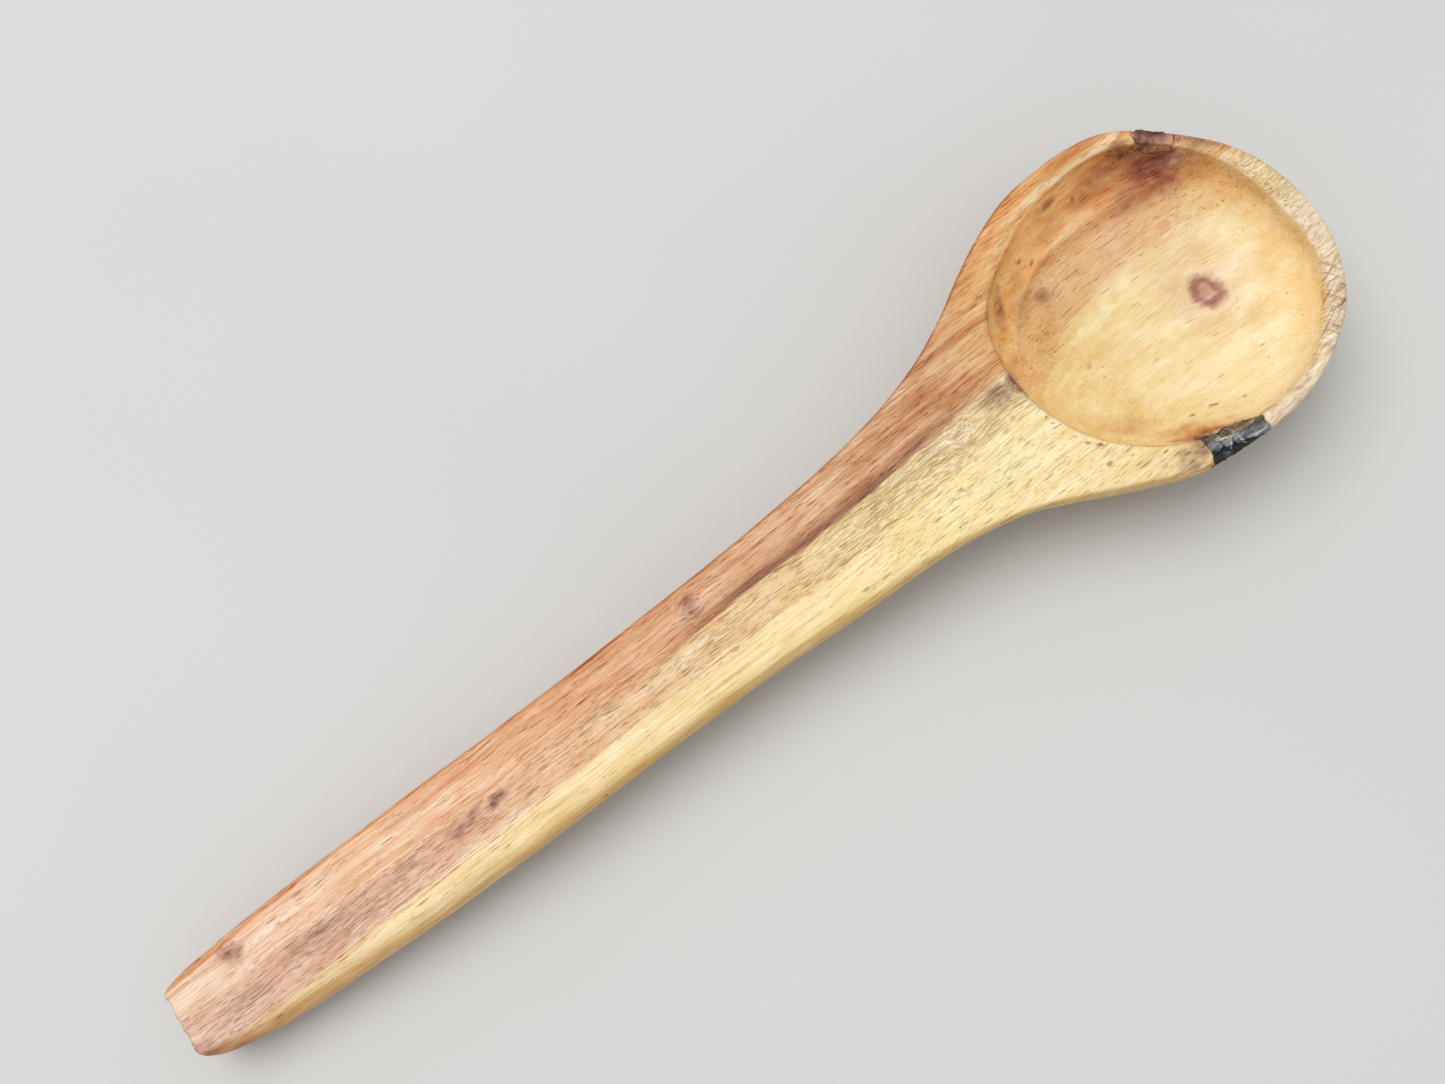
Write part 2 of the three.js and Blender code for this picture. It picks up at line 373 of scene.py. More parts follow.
def wood_field(points):
    """Less than 0 in the wood, with a pocket for each growth."""
    pockets = np.minimum(bark_region(points), knot_region(points))
    return round_max(spoon_field(points), -GROWTH_OVERLAP - pockets, 0.05)


def bark_field(points):
    """Bark with a ridge along it, an outer face that falls away, and a row of lumps below that."""
    x, y, z = points.T
    rough = 0.08 * waves(points, 25, 2.2, stretch=(2, 1, 1)) + 0.045 * waves(points, 26, 0.8)
    crack = 0.4 * np.exp(-((x - 167.2 + 0.5 * waves(points, 27, 3)) / 0.2) ** 2)
    crack += 0.3 * np.exp(-((x - 165.7 - 0.4 * waves(points, 28, 3)) / 0.16) ** 2)
    outer = 0.72 * (z + 0.1) - 0.66 * (y - RIDGE_Y + RIDGE_SLOPE * (x - RIDGE_X))
    lumps = 0.4 * np.abs(waves(points, 29, 1.6, stretch=(1.4, 1, 1))) * smooth_step(-z, 0.9, 1.6)
    skin = np.maximum(spoon_field(points) + 0.1, outer)
    return np.maximum(skin + rough + crack + lumps, bark_region(points))


def knot_field(points):
    """The dead knot, dressed flush with the rim, with a fine fibrous skin."""
    out, off = knot_axes(points)
    local = np.stack([out, off, points[:, 2]], -1)
    fibres = 0.05 * waves(local, 35, 1.1, stretch=(3, 1, 1))
    worn = 0.06 + 0.1 * smooth_step(out, 24.6, 25.6)
    rough = fibres + worn * waves(points, 36, 1.5)
    return np.maximum(spoon_field(points) + 0.06 + rough, knot_region(points))


# -------- surfaces from fields
BLOCK = 4  # grid steps in a block; only blocks near the surface are worked out finely
CHUNK = 100000  # grid points worked out at a time


def grid_values(field, low, high, step):
    """The field on a grid: fine near the surface, one value a block elsewhere."""
    blocks = [math.ceil((b - a) / (step * BLOCK)) for a, b in zip(low, high)]
    axes = [a + step * np.arange(n * BLOCK) for a, n in zip(low, blocks)]
    middles = [a[BLOCK // 2 :: BLOCK] for a in axes]
    rough = field(np.stack(np.meshgrid(*middles, indexing="ij"), -1).reshape(-1, 3)).reshape(blocks)
    near = np.abs(rough) < 1.5 * BLOCK * step
    for axis in range(3):
        rough, near = np.repeat(rough, BLOCK, axis), np.repeat(near, BLOCK, axis)
    value = rough.astype(np.float32)
    spots = np.argwhere(near)
    for part in np.array_split(spots, max(len(spots) // CHUNK, 1)):
        value[tuple(part.T)] = field(np.array(low) + step * part)
    return value


def surface_net(field, low, high, step):
    """A closed quad surface where the field is 0, with one vertex in each cell that it crosses."""
    value = grid_values(field, low, high, step)
    size = value.shape
    cells = [n - 1 for n in size]
    total = np.zeros(cells + [3], np.float32)
    count = np.zeros(cells, np.uint8)
    crossings = []
    for axis in range(3):
        first, second = np.delete(value, -1, axis), np.delete(value, 0, axis)
        crossed = (first < 0) != (second < 0)
        share = np.where(crossed, first / np.where(crossed, first - second, 1), 0)
        crossings.append((crossed, first < 0))
        for corner in np.ndindex(*[1 if a == axis else 2 for a in range(3)]):
            part = tuple(slice(start, start + n) for start, n in zip(corner, cells))
            hit = crossed[part]
            for a in range(3):
                total[..., a] += hit * (share[part] if a == axis else corner[a])
            count += hit
    used = count > 0
    number = np.full(cells, -1)
    number[used] = np.arange(used.sum())
    middles = np.argwhere(used) + total[used] / count[used][:, None]
    points = np.array(low) + step * middles
    faces = []
    for axis, (crossed, leaving) in enumerate(crossings):
        u, v = ((1, 2), (2, 0), (0, 1))[axis]
        edges = np.argwhere(crossed)
        across = edges[:, (u, v)]
        edges = edges[((across > 0) & (across < (size[u] - 1, size[v] - 1))).all(1)]
        ring = []
        for du, dv in ((1, 1), (0, 1), (0, 0), (1, 0)):
            cell = edges.copy()
            cell[:, u] -= du
            cell[:, v] -= dv
            ring.append(number[tuple(cell.T)])
        quad = np.stack(ring, -1)
        back = ~leaving[tuple(edges.T)]
        quad[back] = quad[back][:, ::-1]
        faces.append(quad)
    points, faces = largest_shell(points, np.vstack(faces))
    return settle(field, points, step), faces


def largest_shell(points, faces):
    """Drops loose crumbs: only the shell with the most vertices stays."""
    label = np.arange(len(points))
    pairs = np.vstack([faces[:, [0, 1]], faces[:, [1, 2]], faces[:, [2, 3]]])
    while True:
        lowest = np.minimum(label[pairs[:, 0]], label[pairs[:, 1]])
        joined = label.copy()
        np.minimum.at(joined, pairs[:, 0], lowest)
        np.minimum.at(joined, pairs[:, 1], lowest)
        joined = joined[joined]
        if (joined == label).all():
            break
        label = joined
    kept = label == np.bincount(label).argmax()
    number = np.cumsum(kept) - 1
    return points[kept], number[faces[kept[faces[:, 0]]]]


def settle(field, points, step, rounds=4, nudge=0.05, least=0.2):
    """Moves points onto the surface along the field's slope, whose square counts as least or more."""
    for _ in range(rounds):
        value = field(points)
        slope = np.stack([
            (field(points + nudge * way) - field(points - nudge * way)) / (2 * nudge)
            for way in np.eye(3)
        ], -1)
        move = value[:, None] * slope / np.maximum((slope**2).sum(1), least)[:, None]
        points = points - np.clip(move, -step / 3, step / 3)
    return points


# -------- the tree's own coordinates
def ring_depths(points):
    """How far each point lies past the sapwood's ring and past the heartwood's ring, along Y."""
    x, y, z = points.T
    sap = np.interp(x, *SAP_CURVE.T)
    heart = np.interp(x, *HEART_CURVE.T)
    return y + SAP_SLOPE * z - sap, y + HEART_SLOPE * z - heart


def grain(points):
    """Wood coordinates in millimetres: along the fibres, across them, and outwards over the rings.

    Fibres part round each knot as water does round a post, and the rings swell there.
    """
    x, y, z = points.T
    across = y.copy()
    swell = np.zeros_like(x)
    for knot_x, knot_y, radius in KNOTS:
        dx, dy = x - knot_x, y - knot_y
        away = np.maximum(dx**2 + dy**2, radius**2)
        near = np.exp(-away / (4 * radius) ** 2)
        across -= dy * radius**2 / away * near
        swell += 0.5 * radius * np.exp(-away / (1.8 * radius) ** 2)
    ring = y + z - np.interp(x, *FLOW_LINE.T) + swell
    drift = 0.5 * waves(points, 41, 60, stretch=(2, 1, 1)) + 0.12 * waves(points, 42, 14)
    return np.stack([x + 0.3 * z, across + drift, ring + 0.6 * drift], -1)


def stain(points, rows, soft):
    """1 in the middle of each row's oval, falling to 0 at its edge, times the row's strength."""
    total = np.zeros(len(points))
    drift = np.stack([0.35 * waves(points, 51 + axis, 3.5) for axis in range(3)], -1)
    for x, y, z, long, wide, deep, turn, strength in rows:
        cos, sin = math.cos(math.radians(turn)), math.sin(math.radians(turn))
        dx, dy, dz = ((points - (x, y, z)) + drift * min(wide, 1)).T
        local = np.stack([(dx * cos + dy * sin) / long, (dy * cos - dx * sin) / wide, dz / deep])
        away = np.sqrt((local**2).sum(0))
        total = np.maximum(total, strength * smooth_step(away, 1, 1 - soft))
    return total


def add_field(mesh, name, *values):
    """Stores up to three numbers a vertex, for the materials to read."""
    rows = np.zeros((len(mesh.vertices), 3), np.float32)
    for column, value in enumerate(values):
        rows[:, column] = value
    layer = mesh.attributes.new(name, "FLOAT_VECTOR", "POINT")
    layer.data.foreach_set("vector", rows.ravel())


def store_fields(mesh, points):
    """Stores what the materials read: grain, zones, places on the rim, its facets and stains."""
    share, reach, degrees = hollow(points * (1, 1, 0))
    outline_share, length, _, _ = outline(points[:, 0], points[:, 1])
    out = (share - 1) * reach
    inward = (1 - outline_share) * length
    inside = (1 - smooth_step(out, 0, 0.7)) * smooth_step(-points[:, 2], 0.0, 0.5)
    inside *= smooth_step(hollow_depth(points), -1.6, -0.8)
    up = smooth_step(points[:, 2], -1.6, -0.9)
    bevelled = bevel_share(degrees) * (1 - worn_edge(degrees)) * up
    weathered = smooth_step(degrees, -104, -92) * (1 - smooth_step(degrees, -12, 14))
    weathered *= smooth_step(out, -0.3, 0.5) * smooth_step(points[:, 2], -1.4, -0.5)
    dark = [stain(points, rows, 0.8) for rows in (PURPLE_MARKS, RED_MARKS, GOLD_MARKS)]
    light = [stain(points, PALE_AND_HIGHLIGHT_MARKS, 0.9), stain(points, GREY_MARKS, 0.8)]
    add_field(mesh, "grain", *grain(points).T)
    add_field(mesh, "zones", *ring_depths(points), inside)
    add_field(mesh, "rim", np.clip(out, -4, 8), np.clip(inward, -2, 8))
    add_field(mesh, "facets", bevelled, facet_share(degrees), up)
    add_field(mesh, "stains", *dark)
    add_field(mesh, "lights", *light, weathered)


def make_piece(name, field, low, high, step, node, material):
    """A smooth mesh in the row frame that rides on the spoon and stands for a CAD node."""
    points, faces = surface_net(field, low, high, step)
    mesh = bpy.data.meshes.new(name)
    mesh.from_pydata(points.tolist(), [], faces.tolist())
    store_fields(mesh, points)
    mesh.transform(LAY)
    mesh.shade_smooth()
    mesh.materials.append(material)
    piece = bpy.data.objects.new(name, mesh)
    bpy.context.scene.collection.objects.link(piece)
    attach(piece, "root")
    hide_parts(node)
    return piece


# -------- materials
LIGHT = 1.13  # how brightly a matt white top shows, next to its sheen
SHEEN = 0.08  # what the surface mirrors of the pale studio


def seen(red, green, blue, light=LIGHT):
    """The surface colour that shows as the given 0 to 255 colour under the studio light."""
    shown = np.array([red, green, blue]) / 255
    linear = np.where(shown < 0.04045, shown / 12.92, ((shown + 0.055) / 1.055) ** 2.4)
    matt = np.maximum(linear - SHEEN, 0.4 * linear)
    return (*np.minimum(matt / light, 0.97).tolist(), 1.0)


class Painter:
    """Adds shader nodes to a new material. Each call gives back the socket to read."""

    def __init__(self, name):
        self.material = bpy.data.materials.new(name)
        self.material.use_nodes = True
        self.tree = self.material.node_tree
        self.shader = self.tree.nodes["Principled BSDF"]
        self.shader.inputs["Specular IOR Level"].default_value = 0.3

    def add(self, kind, inputs, output=0, **settings):
        node = self.tree.nodes.new("ShaderNode" + kind)
        for key, value in settings.items():
            setattr(node, key, value)
        for key, value in inputs.items():
            self.feed(node.inputs[key], value)
        return node.outputs[output]

    def feed(self, socket, value):
        if isinstance(value, bpy.types.NodeSocket):
            self.tree.links.new(value, socket)
        else:
            socket.default_value = value

    def math(self, operation, a, b=0.0, c=0.0):
        return self.add("Math", {0: a, 1: b, 2: c}, operation=operation)

    def scaled(self, value, gain, base):
        return self.math("MULTIPLY_ADD", value, gain, base)

    def vector(self, operation, *values, output=0):
        return self.add("VectorMath", dict(enumerate(values)), output, operation=operation)

    def join(self, operation, values):
        return reduce(lambda a, b: self.math(operation, a, b), values)

    def times(self, *values):
        return self.join("MULTIPLY", values)

    def total(self, *terms):
        """The sum of terms, each a row of values to multiply."""
        return self.join("ADD", [self.times(*term) for term in terms])

    def ease(self, value, start, end, low=0.0, high=1.0):
        """Goes smoothly from low to high as the value goes from start to end."""
        inputs = {"Value": value, "From Min": start, "From Max": end, "To Min": low, "To Max": high}
        return self.add("MapRange", inputs, interpolation_type="SMOOTHSTEP")

    def noise(self, place, size, detail=2.0, seed=0.0):
        """Soft noise from about -1 to 1, with features of the given size."""
        moved = self.vector("ADD", self.vector("DIVIDE", place, size), (seed, seed, seed))
        inputs = {"Vector": moved, "Scale": 1.0, "Detail": detail, "Roughness": 0.55}
        return self.scaled(self.add("TexNoise", inputs), 4.0, -2.0)

    def shade(self, share, colour, red, green, blue):
        """Takes the colour towards itself times the three given shares of red, green and blue."""
        return self.mix(share, colour, (red, green, blue, 1), "MULTIPLY")

    def mix(self, share, a, b, blend="MIX"):
        inputs = {0: share, 6: a, 7: b}
        return self.add("Mix", inputs, output=2, data_type="RGBA", blend_type=blend)

    def tones(self, value, stops):
        """The colour at a value, through stops: a value, then what seen() takes."""
        start, end = stops[0][0], stops[-1][0]
        share = self.add("MapRange", {"Value": value, "From Min": start, "From Max": end})
        colour = self.add("ValToRGB", {0: share})
        elements = colour.node.color_ramp.elements
        for stop, *_ in stops[1:-1]:
            elements.new((stop - start) / (end - start))
        for element, (_, *shade) in zip(elements, stops):
            element.color = seen(*shade)
        return colour

    def turned(self, place, angle):
        return self.add("Mapping", {"Vector": place, "Rotation": (0, 0, angle)})

    def oval(self, place, middle, size, angle=0.0):
        """How far out a place is in an oval: 0 in its middle, 1 at its edge."""
        inputs = {"Vector": place, "Location": middle, "Scale": size, "Rotation": (0, 0, angle)}
        local = self.add("Mapping", inputs, vector_type="TEXTURE")
        return self.vector("LENGTH", local, output="Value")

    def spots(self, place, rows, soft):
        """1 in the middle of each row's oval, falling to 0 at its edge, times the row's strength."""
        shares = []
        for x, y, z, long, wide, deep, turn, strength in rows:
            away = self.oval(place, (x, y, z), (long, wide, deep), math.radians(turn))
            shares.append(self.ease(away, 1.0, 1 - soft, 0.0, strength))
        return self.join("MAXIMUM", shares)

    def carved(self):
        """The place on the surface in the carving frame, in millimetres."""
        place = self.add("TexCoord", {}, output="Object")
        inputs = {"Vector": place, "Location": LAY.inverted().translation}
        inputs |= {"Rotation": (0, TILT, 0), "Scale": (1 / MM, 1 / MM, 1 / MM)}
        return self.add("Mapping", inputs)

    def field(self, name):
        return self.add("Attribute", {}, output="Vector", attribute_name=name)

    def split(self, vector):
        return list(self.add("SeparateXYZ", {0: vector}).node.outputs)

    def finish(self, colour, roughness, height):
        """Feeds the shader; the height is in millimetres."""
        bump = self.add("Bump", {"Height": height, "Distance": MM})
        self.feed(self.shader.inputs["Base Color"], colour)
        self.feed(self.shader.inputs["Roughness"], roughness)
        self.feed(self.shader.inputs["Normal"], bump)
        return self.material


# Colours of the wood, each after its x, or in HOLLOW_BETWEEN after how far past the heartwood's
# ring it is, and followed by its light where that isn't the usual one.
SAPWOOD = (
    (0, 228, 188, 150), (15, 245, 208, 162), (32, 252, 226, 178), (60, 250, 221, 168),
    (95, 250, 224, 167), (130, 255, 235, 178), (150, 255, 232, 177), (165, 250, 222, 168),
    (200, 253, 234, 184),
)
BETWEEN = (
    (0, 234, 197, 174), (15, 233, 191, 167), (30, 229, 186, 160), (45, 234, 188, 158),
    (60, 236, 190, 152), (90, 238, 200, 154), (108, 244, 210, 160), (122, 248, 222, 168),
    (148, 250, 226, 176), (200, 250, 230, 182),
)
HEARTWOOD = (
    (0, 248, 218, 192), (15, 250, 211, 183), (32, 247, 206, 170), (46, 240, 190, 154),
    (60, 234, 182, 142), (75, 229, 176, 138), (95, 218, 165, 128), (120, 211, 160, 122),
    (138, 208, 158, 122), (150, 226, 178, 130), (164, 238, 188, 134), (180, 231, 182, 134),
    (200, 236, 198, 152),
)
# A light under LIGHT paints the colour paler: painted light on walls of the hollow that the lamp
# reaches less.
HOLLOW_BETWEEN = (
    (-9, 236, 194, 146), (-5, 230, 185, 141, 0.98), (-2.2, 221, 175, 133, 0.94),
    (-0.4, 200, 150, 114, 0.9), (0.6, 216, 166, 120, 0.84),
)
HOLLOW_HEART = (
    (148, 210, 160, 116, 0.92), (158, 228, 178, 127, 0.84), (168, 238, 190, 137, 0.78),
    (178, 212, 160, 117, 0.76), (188, 190, 134, 100, 0.86), (198, 220, 170, 124),
)


def zone_colours(paint, x, zones, wobble):
    """Sapwood, the zone between and heartwood, each with its own colours along the spoon."""
    sap, heart, inside = zones
    sap = paint.math("ADD", sap, wobble)
    heart = paint.scaled(wobble, 0.7, heart)
    sapwood = paint.tones(x, SAPWOOD)
    between = paint.mix(inside, paint.tones(x, BETWEEN), paint.tones(heart, HOLLOW_BETWEEN))
    heartwood = paint.mix(inside, paint.tones(x, HEARTWOOD), paint.tones(x, HOLLOW_HEART))
    fading = paint.ease(x, 172, 186)
    neck = paint.scaled(paint.ease(x, 126, 146), 1.1, 0.3)
    soft = paint.total((neck,), (inside, 0.3), (fading, 2.6))
    sap_edge = paint.ease(sap, paint.times(soft, -1.0), soft)
    colour = paint.mix(sap_edge, sapwood, between)
    soft = paint.times(soft, 0.6)
    heart_edge = paint.ease(heart, paint.times(soft, -1.0), soft)
    return paint.mix(heart_edge, colour, heartwood), sap, heart


# Marks in the wood. Each is x, y, z, half-sizes along x, y and z, degrees turned, and strength.
PURPLE_MARKS = (
    (149.2, 1.6, 0, 1.5, 3.2, 5, -16, 0.95), (146.2, 1.6, 0, 5.5, 2.6, 3, 0, 0.6),
    (53.4, -1, 0, 4.4, 1, 2, 4, 0.85), (48.5, -1.2, 0, 5, 1.1, 2, -2, 0.6),
    (137.6, 0.3, 0, 2.4, 1.2, 3, 0, 0.4), (155.8, 12.8, -3.6, 3.9, 1.2, 4, 60, 0.6),
    (154.2, 10.6, -4, 1.2, 1, 4, 0, 0.5), (157.2, 15, -3, 1, 0.8, 4, 0, 0.5),
    (164.3, 11.5, -8.6, 2.1, 1.8, 3, 20, 0.6), (91.8, 4.1, 0, 3.2, 2.2, 3, 0, 0.72),
    (91.5, 3.8, 0, 0.9, 0.8, 2, 0, 0.95), (11.2, 4.3, 0, 3.2, 2.4, 3, 0, 0.62),
    (153.2, 15.2, 0, 1, 0.35, 3, -40, 0.6), (9.5, -2, 0, 6, 1.1, 2, 0, 0.3),
    (22, -0.6, 0, 7, 1, 2, 0, 0.4), (27, -2.6, 0, 9, 1.2, 2, 0, 0.3),
    (37, -1.2, 0, 5, 1.2, 2, -4, 0.35), (42, 5, 0, 4, 0.8, 2, 0, 0.25),
    (35.5, 2, 0, 1, 0.7, 2, 0, 0.3), (72, 0.2, 0, 6, 0.7, 2, 2, 0.35),
    (79, 1, 0, 4, 0.4, 2, 2, 0.3), (186.6, 19.8, -2.8, 5, 1.8, 3, -32, 0.85),
    (184.4, 20, -3.6, 3.4, 1.4, 3, -20, 0.6), (190.6, 16.4, -3.4, 6, 2.6, 3.4, -46, 0.95),
    (188.4, 17, -5, 3.4, 1.8, 4, -50, 0.7), (193.6, 15.6, -0.5, 7, 1.5, 3, -52, 0.7),
    (185, 21.2, -1.5, 1.6, 1.4, 3, -30, 0.6), (161.6, -21.8, -0.2, 4.6, 0.6, 2, -22, 0.55),
    (167.4, -21.1, -4.2, 7.5, 1, 5, -17.5, 0.9), (163.4, -20.8, -2.6, 2.8, 1.6, 4, -17, 0.8),
    (163.2, -22.8, -0.4, 2.6, 1.4, 3, -24, 0.6), (160.2, -23.4, 0, 3.2, 0.5, 2, -24, 0.45),
    (192.2, 17.8, -0.8, 2.6, 1.6, 3, -50, 0.6),
)
BROWN_MARKS = (
    (172, 21.3, -3.5, 2.4, 0.9, 3, 5, 0.8), (170.4, 21, -3.5, 2.6, 0.8, 3, 10, 0.4),
    (176.8, 20.2, -5.6, 0.7, 0.4, 3, 10, 0.7), (163.2, 17, -4.9, 0.9, 0.5, 3, 20, 0.7),
    (165.4, 16.2, -6.3, 0.8, 0.45, 3, 25, 0.7), (168.3, -17.1, -7.7, 0.7, 0.35, 3, -15, 0.8),
    (171.9, -18, -7.8, 1, 0.4, 3, -20, 0.85), (175.9, -19.6, -7, 0.6, 0.3, 3, 0, 0.6),
    (162.7, -1.5, -10.1, 0.9, 0.6, 3, 20, 0.45), (163.4, -4.2, -10, 0.5, 0.3, 3, 0, 0.5),
    (158.6, -19.4, 0, 0.6, 0.3, 3, 0, 0.8), (151, -11.7, 0, 0.7, 0.45, 3, -20, 0.85),
    (152.2, -12.9, 0, 0.8, 0.5, 3, -40, 0.9), (151.5, -16.2, 0, 0.7, 0.5, 3, 20, 0.7),
    (149, -5.2, 0, 0.5, 0.3, 3, 0, 0.75), (149.2, -6.4, 0, 0.5, 0.3, 3, -30, 0.75),
    (154.8, -16.9, 0, 0.6, 0.3, 3, 0, 0.6), (150.4, -10, 0, 0.4, 0.3, 3, 0, 0.6),
    (185.7, 20.3, -2.4, 0.7, 0.6, 3, 0, 0.95), (139.3, 1.2, 0, 0.3, 0.3, 2, 0, 0.4),
    (71, 2.5, 0, 0.9, 0.25, 2, 0, 0.6), (129.2, -10.6, 0, 0.3, 0.25, 2, 0, 0.8),
    (190.4, 16.6, -2.2, 1.4, 0.7, 3, -40, 0.7), (188.4, 17.4, -3, 1, 0.5, 3, 0, 0.7),
    (66.5, -10, -1, 0.4, 0.3, 2, 0, 0.6),
)
RED_MARKS = (
    (1.5, -4.2, -1.2, 3.6, 1.8, 3, -35, 0.75), (5.5, -6.4, -2.5, 6, 1.6, 3, -14, 0.5),
    (190, 21, -1, 6, 3, 4, -45, 0.4), (181, 20.6, -5, 3.5, 1.5, 4, -12, 0.5),
    (188.8, 15.2, -5.8, 6.8, 4.6, 6, -48, 0.9), (184.6, 15.6, -7.5, 6, 2.6, 5, 18, 0.6),
    (192, 12.5, -4, 4.5, 3.4, 5, -40, 0.4), (178, 19.4, -6, 5, 1.4, 4, -5, 0.4),
    (160, 12, -6, 6, 2.4, 5, 48, 0.3), (170, 18.6, -6, 7, 2.2, 5, 8, 0.3),
    (173.8, -23.6, 0, 2.2, 1.6, 3, 10, 0.4),
)
GOLD_MARKS = (
    (159.2, -12.6, -6.4, 6, 3.4, 5, -35, 0.5), (164.8, -18.2, -5.5, 6.5, 1.6, 4, -18, 0.55),
    (168.2, -20.8, -5.5, 7, 1.6, 3, -17, 0.6), (166.6, -20.4, -4.2, 8, 1.8, 5, -17, 1),
    (174, -24, 0, 2.6, 1.8, 3, 0, 0.5), (164.4, -19.4, -4.5, 5, 1.5, 4, -12, 0.9),
    (140, 8, 0, 13, 0.6, 1.5, 1, 0.55), (126, 7.4, 0, 10, 0.4, 1.5, 1, 0.4),
    (162.4, -25.2, -0.6, 1.2, 0.8, 3, 0, 0.8), (60, -7.2, 0, 7, 0.35, 2, 2, 0.5),
    (90, -7.6, 0, 9, 0.4, 2, 0, 0.5), (104, -8, 0, 10, 0.3, 2, 0, 0.4),
    (121, -2, 0, 0.9, 0.4, 2, 0, 0.5), (46, -6.8, 0, 3, 0.3, 2, 0, 0.4),
)
# Some are paler wood; the rest are painted highlights in the hollow and along the handle's ridge near
# x 70.
PALE_AND_HIGHLIGHT_MARKS = (
    (185.6, 5.2, -10.8, 4, 0.9, 3, 14, 0.85), (171, 4.2, -11.5, 7, 2.4, 3, 5, 0.7),
    (182.5, -12, -10, 8, 3.2, 3, 8, 0.7), (192, 3, -7, 9, 5, 6, -75, 0.55),
    (174.5, -15.6, -9, 6, 1.8, 3, 5, 0.5), (177.5, -4.4, -11.8, 3.2, 2.6, 3, 0, 0.5),
    (91.5, 4.2, 0, 0.6, 0.13, 1, 2, 0.8), (140, -8, 0, 9, 3.5, 2, 0, 0.4),
    (70, -5.9, 0, 24, 0.6, 2, 1, 0.55), (170.5, 16.7, -7.8, 10, 0.6, 3, 4, 0.4),
    (161.5, 14.4, -6.5, 5.5, 0.5, 3, 40, 0.3), (154.5, 6.5, -6, 5.5, 0.5, 4, 55, 0.25),
    (165.5, 3.2, -11.2, 5, 1.2, 3, 8, 0.75),
)
GREY_MARKS = (
    (162.5, -21.2, -1.5, 5, 1.4, 3, -22, 0.85), (160.5, -23, 0, 3.5, 1.8, 3, -20, 0.65),
    (192, -18.5, 0, 9, 3, 3, 42, 0.65), (178, -24.3, 0, 7, 2.4, 3, 14, 0.75),
    (197.6, -6, 0, 7, 1.6, 3, 78, 0.5), (154.5, 4, -4, 3, 1.2, 3, 70, 0.35),
    (152.5, 12, -2.5, 3, 1.2, 3, 60, 0.35),
)
SCRATCHES = (
    (114.3, 4.9, 0, 2.7, 0.1, 1, -59, 0.8), (121, 5.2, 0, 3, 0.12, 1, -58, 0.9),
    (124.1, 5.2, 0, 3.6, 0.1, 1, -72, 0.7), (105.4, 5, 0, 2, 0.09, 1, -50, 0.5),
    (103.5, 6, 0, 2, 0.08, 1, -40, 0.4), (116, 3.2, 0, 2.2, 0.09, 1, -40, 0.6),
    (126, 6.4, 0, 1.8, 0.1, 1, -70, 0.5), (118.8, 6.8, 0, 1.6, 0.1, 1, -68, 0.5),
    (133, 8.6, 0, 4, 0.08, 1, 3, 0.4), (101, 2.6, 0, 1.6, 0.07, 1, -30, 0.4),
)


